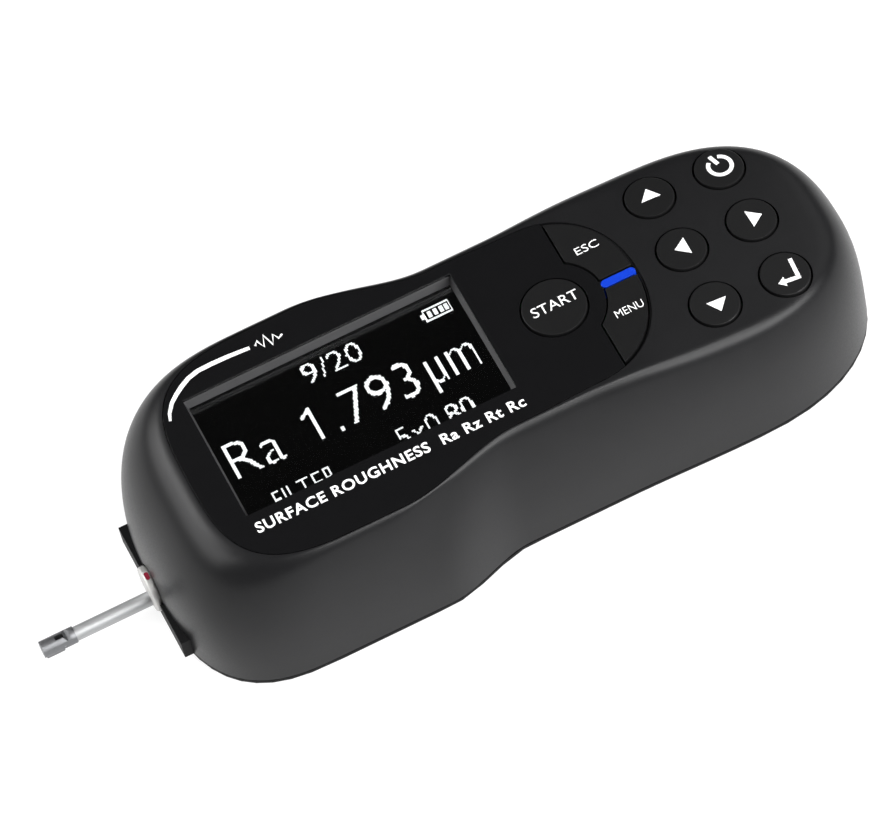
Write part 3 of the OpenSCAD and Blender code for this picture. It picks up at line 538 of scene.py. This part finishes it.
# Marks: letters, arrows and lines as thin solids on the faces that carry them
def letters(text, wide, high, bold=0.0, spread=1.0):
    curve = bpy.data.curves.new("letters", "FONT")
    curve.body = text
    curve.size = 1.0
    curve.offset = bold
    curve.space_character = spread
    curve.resolution_u = 4
    holder = bpy.data.objects.new("letters", curve)
    scene.collection.objects.link(holder)
    graph = bpy.context.evaluated_depsgraph_get()
    bm = bmesh.new()
    bm.from_mesh(holder.evaluated_get(graph).to_mesh())
    bpy.data.objects.remove(holder)
    xs, ys = [v.co.x for v in bm.verts], [v.co.y for v in bm.verts]
    bmesh.ops.translate(bm, verts=bm.verts, vec=(-(min(xs) + max(xs)) / 2, -(min(ys) + max(ys)) / 2, 0))
    bmesh.ops.scale(bm, verts=bm.verts,
                    vec=(wide * mm / (max(xs) - min(xs)), high * mm / (max(ys) - min(ys)), 1))
    return bm


# a flat line through points, with a width at each, made by extruding one edge
def stroke(bm, points, widths):
    ends = [bmesh.ops.create_vert(bm, co=(0, 0, 0))["vert"][0] for side in (0, 1)]
    edge = bmesh.ops.contextual_create(bm, geom=ends)["edges"]
    for i, (point, width) in enumerate(zip(points, widths)):
        before, after = Vector(points[max(0, i - 1)]), Vector(points[min(len(points) - 1, i + 1)])
        along = (after - before).normalized()
        across = Vector((-along.y, along.x)) * width / 2
        if i:
            grown = bmesh.ops.extrude_edge_only(bm, edges=edge)["geom"]
            fresh = vertsOf(grown)
            ends = [next(v for v in fresh if any(e.other_vert(v) == old for e in v.link_edges))
                    for old in ends]
            edge = [e for e in edgesOf(grown) if set(e.verts) == set(ends)]
        for v, sign in zip(ends, (1, -1)):
            v.co = (Vector(point) + across * sign).to_3d() * mm


# flat marks get a thickness and go to their place
def raiseMarks(bm, place, thick=0.03):
    bmesh.ops.remove_doubles(bm, verts=bm.verts, dist=0.002 * mm)
    raised = bmesh.ops.extrude_face_region(bm, geom=bm.faces[:])["geom"]
    bmesh.ops.translate(bm, verts=vertsOf(raised), vec=(0, 0, thick * mm))
    bmesh.ops.recalc_face_normals(bm, faces=bm.faces)
    bmesh.ops.transform(bm, matrix=place, verts=bm.verts)
    return bm


def joined(parts):
    whole = bmesh.new()
    for part in parts:
        mesh = bpy.data.meshes.new("part")
        part.to_mesh(mesh)
        part.free()
        whole.from_mesh(mesh)
        bpy.data.meshes.remove(mesh)
    return whole


def flatPlace(x, y, z):
    return Matrix.Translation(Vector((x, y, z)) * mm)


# on the top of a key, at its middle and with its tilt: x, y in mm and a turn in degrees
def tiltedPlace(node, x, y, turn):
    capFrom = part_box(node)[1].z - 1.5 * mm
    faces = [p for p in nodes[node].data.polygons if p.normal.z > 0.9 and p.center.z > capFrom]
    middle = sum((p.center * p.area for p in faces), Vector()) / sum(p.area for p in faces)
    normal = sum((p.normal * p.area for p in faces), Vector()).normalized()
    across = (Vector((1, 0, 0)) - normal * normal.x).normalized()
    tilt = Matrix((across, normal.cross(across), normal)).transposed().to_4x4()
    spin = Matrix.Rotation(math.radians(turn), 4, "Z")
    return Matrix.Translation(middle) @ tilt @ flatPlace(x, y, 0) @ spin


# signs and words on the keys, in mm: an arrow's turn and shift, a sign's shift and turn, and for a word its
# text, width, height, boldness and middle
legend = {
    "arrowLong": 3.45, "arrowWide": 3.5, "arrowLean": 14, "stroke": 0.85,
    "arrows": {"right": (-24, 0.15, 0.29), "up": (65, 0.46, 0.22),
               "left": (154, 0.46, -0.36), "down": (-113, 0.53, 0.23)},
    "power": (0.45, 0.4, 17), "ring": 2.4, "ringTurns": range(120, 421, 10), "bar": [(0, 0.6), (0, 3.2)],
    "enter": (-0.23, -0.3, -4), "enterDown": [(2.4, 3.2), (2.4, -1.85)],
    "enterBack": [(2.82, -1.45), (-0.6, -1.45)], "enterHead": [(-0.5, -1.45), (-2.0, -1.45)],
    "headWidths": [2.3, 0.05],
    "words": {"start": ("START", 10.2, 2.4, -0.002, 16.0, 0.55), "esc": ("ESC", 5.0, 1.8, -0.006, 27.5, 9.6),
              "menu": ("MENU", 6.1, 1.8, -0.008, 28.45, -8.0)},
}
lean = math.tan(math.radians(legend["arrowLean"])) * legend["arrowWide"] / 2
back, tip = -legend["arrowLong"] / 3, legend["arrowLong"] * 2 / 3
corners = [(back - lean, -legend["arrowWide"] / 2, 0), (tip, 0, 0), (back + lean, legend["arrowWide"] / 2, 0)]
for key, (turn, x, y) in legend["arrows"].items():
    bm = bmesh.new()
    ends = [bmesh.ops.create_vert(bm, co=Vector(c) * mm)["vert"][0] for c in corners]
    bmesh.ops.contextual_create(bm, geom=ends)
    arrow = raiseMarks(bm, tiltedPlace(key + "_key", x, y, turn))
    makePiece(key + "Arrow", arrow, "ink", key + "_key_body")

# power sign: a ring with a gap, and a bar in the gap
bm = bmesh.new()
turns = [math.radians(a) for a in legend["ringTurns"]]
stroke(bm, [(legend["ring"] * math.cos(a), legend["ring"] * math.sin(a)) for a in turns],
       [legend["stroke"]] * len(turns))
stroke(bm, legend["bar"], [legend["stroke"]] * 2)
powerSign = raiseMarks(bm, tiltedPlace("power_key", *legend["power"]))
makePiece("powerSign", powerSign, "ink", "power_key_body")

# enter sign: down, then back to the left, with a head
bm = bmesh.new()
stroke(bm, legend["enterDown"], [legend["stroke"]] * 2)
stroke(bm, legend["enterBack"], [legend["stroke"]] * 2)
stroke(bm, legend["enterHead"], legend["headWidths"])
enterSign = raiseMarks(bm, tiltedPlace("enter_key", *legend["enter"]))
makePiece("enterSign", enterSign, "ink", "enter_key_body")

for key, (text, wide, high, bold, x, y) in legend["words"].items():
    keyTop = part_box(key + "_key")[1].z / mm
    word = raiseMarks(letters(text, wide, high, bold), flatPlace(x, y, keyTop))
    makePiece(key + "Word", word, "ink", key + "_key_body")

# face plate: words along the near side of the window, and a trace round the far front corner
plate = {
    "corner": [(-62.9, 14.9), (-62.3, 16.6), (-60.9, 18.6), (-59.3, 20.0), (-57.6, 21.2), (-55.6, 22.3),
               (-53.2, 22.95), (-50.0, 23.05), (-46.3, 22.95), (-41.8, 22.6)],
    "cornerWidths": [0.5, 0.7, 0.85, 0.95, 1.0, 1.0, 1.0, 1.0, 0.95, 0.8],
    "trace": [(-40.6, 22.4), (-39.9, 23.4), (-39.1, 21.3), (-38.2, 24.0), (-37.3, 20.9), (-36.4, 23.2),
              (-35.7, 21.7), (-34.7, 22.3)],
    "traceWidth": 0.45,
    "words": "SURFACE ROUGHNESS  Ra Rz Rt Rc", "wide": 59.1, "high": 2.6, "bold": 0.02, "spread": 1.1,
    "wordsAt": (-28.75, -16.7),
}
bm = bmesh.new()
stroke(bm, plate["corner"], plate["cornerWidths"])
stroke(bm, plate["trace"], [plate["traceWidth"]] * len(plate["trace"]))
makePiece("traceLine", raiseMarks(bm, flatPlace(0, 0, h["top"])), "ink", "tester")
words = letters(plate["words"], plate["wide"], plate["high"], plate["bold"], plate["spread"])
makePiece("plateWords", raiseMarks(words, flatPlace(*plate["wordsAt"], h["top"])), "ink", "tester")


# a flat shape as the lit dots of the display that lie on it
def dotted(flat, cell, dot):
    finder = BVHTree.FromBMesh(flat)
    across, along = (max(abs(v.co[axis]) for v in flat.verts) / mm for axis in (0, 1))
    flat.free()
    dots = bmesh.new()
    for column in range(-int(across / cell) - 1, int(across / cell) + 2):
        for row in range(-int(along / cell) - 1, int(along / cell) + 2):
            at = Vector((column, row, 0)) * cell * mm
            if finder.ray_cast(at + Vector((0, 0, mm)), Vector((0, 0, -1)))[0]:
                bmesh.ops.create_grid(dots, x_segments=1, y_segments=1, size=dot * cell * mm,
                                      matrix=Matrix.Translation(at))
    return dots


# Readout on the display, in mm on the panel: text, width, height, boldness and middle of each line
readout = {
    "cell": 0.36, "dot": 0.48, "thick": 0.08, "above": 0.01,
    "lines": [("Ra", 11.0, 8.8, -0.015, -50.6, 1.85), ("1.793", 22.5, 8.8, -0.015, -26.35, 1.8),
              ("µm", 10.5, 8.6, -0.015, -7.3, -0.4), ("9/20", 12.8, 4.9, -0.010, -28.4, 13.15),
              ("FILTER", 13.4, 4.9, -0.010, -45.3, -10.95), ("5x0.80", 16.8, 4.9, -0.010, -16.1, -10.15)],
    # the font's figure one is a plain bar, and its micro sign has a thin stem
    "strokes": {"1": [(-39.3, 3.9), (-37.0, 5.9)], "µ": [(-12.2, -4.7), (-12.2, 3.6)]}, "strokeWide": 0.75,
    # battery sign: its case, its cap and its bars
    "case": [(-7.4, 12.2), (-1.8, 12.2), (-1.8, 14.9), (-7.4, 14.9), (-7.4, 12.0)], "caseWide": 0.41,
    "cap": [(-8.2, 13.55), (-7.4, 13.55)], "capWide": 1.2,
    "bars": (-6.3, -5.0, -3.7, -2.6), "barEnds": (12.8, 14.3), "barWide": 0.8,
}
panelPlace = flatPlace(0, 0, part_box("display_panel")[1].z / mm + readout["above"])
parts = []
for text, wide, high, bold, x, y in readout["lines"]:
    flat = letters(text, wide, high, bold)
    if text[0] in readout["strokes"]:
        points = [(sx - x, sy - y) for sx, sy in readout["strokes"][text[0]]]
        stroke(flat, points, [readout["strokeWide"]] * 2)
    dots = dotted(flat, readout["cell"], readout["dot"])
    parts.append(raiseMarks(dots, panelPlace @ flatPlace(x, y, 0), readout["thick"]))
bm = bmesh.new()
stroke(bm, readout["case"], [readout["caseWide"]] * len(readout["case"]))
stroke(bm, readout["cap"], [readout["capWide"]] * 2)
for x in readout["bars"]:
    stroke(bm, [(x, y) for y in readout["barEnds"]], [readout["barWide"]] * 2)
parts.append(raiseMarks(bm, panelPlace, readout["thick"]))
makePiece("readout", joined(parts), "lit", "tester")
print("marks made")

# finishes of the CAD nodes that stay as they are
stays = {
    "display_panel": "screen", "display_board": "board", "keypad_board": "board", "main_board": "board",
    "key_switches": "switch", "charge_socket": "socket", "battery_pack": "battery", "drive_frame": "frame",
    "guide_rods": "steel", "lead_screw": "steel", "shaft_coupling": "brass", "motor_shaft": "steel",
    "gear_motor": "nickel", "end_sensors": "frame", "carriage": "frame", "drive_nut": "brass",
    "pickup_socket": "brass", "alignment_dot": "dot", "stylus_arm": "frame", "stylus_tip": "darkSteel",
    "stylus_pin": "steel", "board_screws": "steel", "housing_screws": "screw",
}
for node, look in stays.items():
    nodes[node].data.materials.clear()
    nodes[node].data.materials.append(finish[look])
print("CAD nodes kept:", len(stays))


# Studio: pale floor, soft lights, and the camera on the photograph's line of sight
def paleFloor():
    material, tree, shader, place = freshMaterial("paleStudioPaper")
    fibre = put(tree, "ShaderNodeTexNoise", {"Vector": place, "Scale": 1 / (4 * mm), "Detail": 2.0})
    tone = put(tree, "ShaderNodeMix",
               {0: fibre.outputs["Fac"], 6: hexColour("#7d7d7d"), 7: hexColour("#818181")}, data_type="RGBA")
    tree.links.new(tone.outputs[2], shader.inputs["Base Color"])
    shader.inputs["Emission Color"].default_value = hexColour("#ffffff")
    shader.inputs["Emission Strength"].default_value = 0.86
    shader.inputs["Roughness"].default_value = 0.9
    return material


bm = bmesh.new()
bmesh.ops.create_grid(bm, x_segments=1, y_segments=1, size=6.0)
mesh = bpy.data.meshes.new("studioFloor")
bm.to_mesh(mesh)
bm.free()
mesh.materials.append(paleFloor())
floor = bpy.data.objects.new("studioFloor", mesh)
scene.collection.objects.link(floor)
floor.location.z = -0.05 * mm  # just clear of the cover

# soft boxes: place and size in m, power in W, and whether they light colour, gloss or all
lights = {
    "frontBox": ((-0.82, 0.42, 0.47), (1.0, 0.9), 10.5, "colour"),
    "browBox": ((-0.78, 0.40, 0.57), (1.0, 0.6), 9.5, "gloss"),
    "noseBox": ((-0.48, 0.53, 0.70), (0.4, 0.35), 2.6, "all"),
    "overBox": ((0.18, -0.44, 0.90), (0.4, 0.3), 5.5, "all"),
    "nearBox": ((0.60, -0.93, 0.50), (0.7, 0.8), 29.0, "colour"),
    "rimBox": ((0.58, -0.86, 0.75), (1.0, 0.6), 20.0, "gloss"),
    "rearBox": ((0.75, 0.35, 0.75), (0.8, 0.8), 2.0, "all"),
}
lightsAim = Vector((0, 0, 0.02))
for name, (where, size, power, shows) in lights.items():
    lamp = bpy.data.lights.new(name, "AREA")
    lamp.shape = "RECTANGLE"
    lamp.size, lamp.size_y = size
    lamp.energy = power
    holder = bpy.data.objects.new(name, lamp)
    holder.location = where
    holder.rotation_euler = (lightsAim - Vector(where)).to_track_quat("-Z", "Y").to_euler()
    holder.visible_glossy = shows != "colour"
    holder.visible_diffuse = shows != "gloss"
    holder.visible_transmission = False  # keeps the boxes out of the display's glass
    scene.collection.objects.link(holder)

world = bpy.data.worlds.new("studioAir")
world.use_nodes = True
air = world.node_tree.nodes["Background"]
air.inputs["Color"].default_value = hexColour("#ffffff")
air.inputs["Strength"].default_value = 0.03
scene.world = world
scene.view_settings.view_transform = "Standard"

# camera: line of sight from a point on the start key, in mm, with the pixel it falls on; roll in degrees,
# distance in m, and focal length and image size in pixels
sight = {"back": (-0.14913, -0.53564, 0.83118), "roll": -12.45144, "distance": 1.3333, "focal": 6676.0,
         "point": (15.6, 0.0, 35.9), "pixel": (554.36, 307.60), "image": (888, 838), "sensor": 36.0}
back = Vector(sight["back"]).normalized()
side = Vector((0, 0, 1)).cross(back).normalized()
up = back.cross(side)
roll = math.radians(sight["roll"])
right = side * math.cos(roll) + up * math.sin(roll)
over = up * math.cos(roll) - side * math.sin(roll)
offset = (sight["pixel"][0] - sight["image"][0] / 2, sight["image"][1] / 2 - sight["pixel"][1])
ahead = (-back * sight["focal"] - right * offset[0] - over * offset[1]).normalized()
right = (right - ahead * right.dot(ahead)).normalized()
over = right.cross(ahead)
lens = bpy.data.cameras.new("photoLens")
lens.sensor_fit = "HORIZONTAL"
lens.sensor_width = sight["sensor"]
lens.lens = sight["focal"] / sight["image"][0] * sight["sensor"]
lens.clip_start = 0.05
lens.clip_end = 20.0
camera = bpy.data.objects.new("photoCamera", lens)
eye = Vector(sight["point"]) * mm + back * sight["distance"]
camera.matrix_world = Matrix.Translation(eye) @ Matrix((right, over, -ahead)).transposed().to_4x4()
scene.collection.objects.link(camera)
scene.camera = camera
print("studio ready")
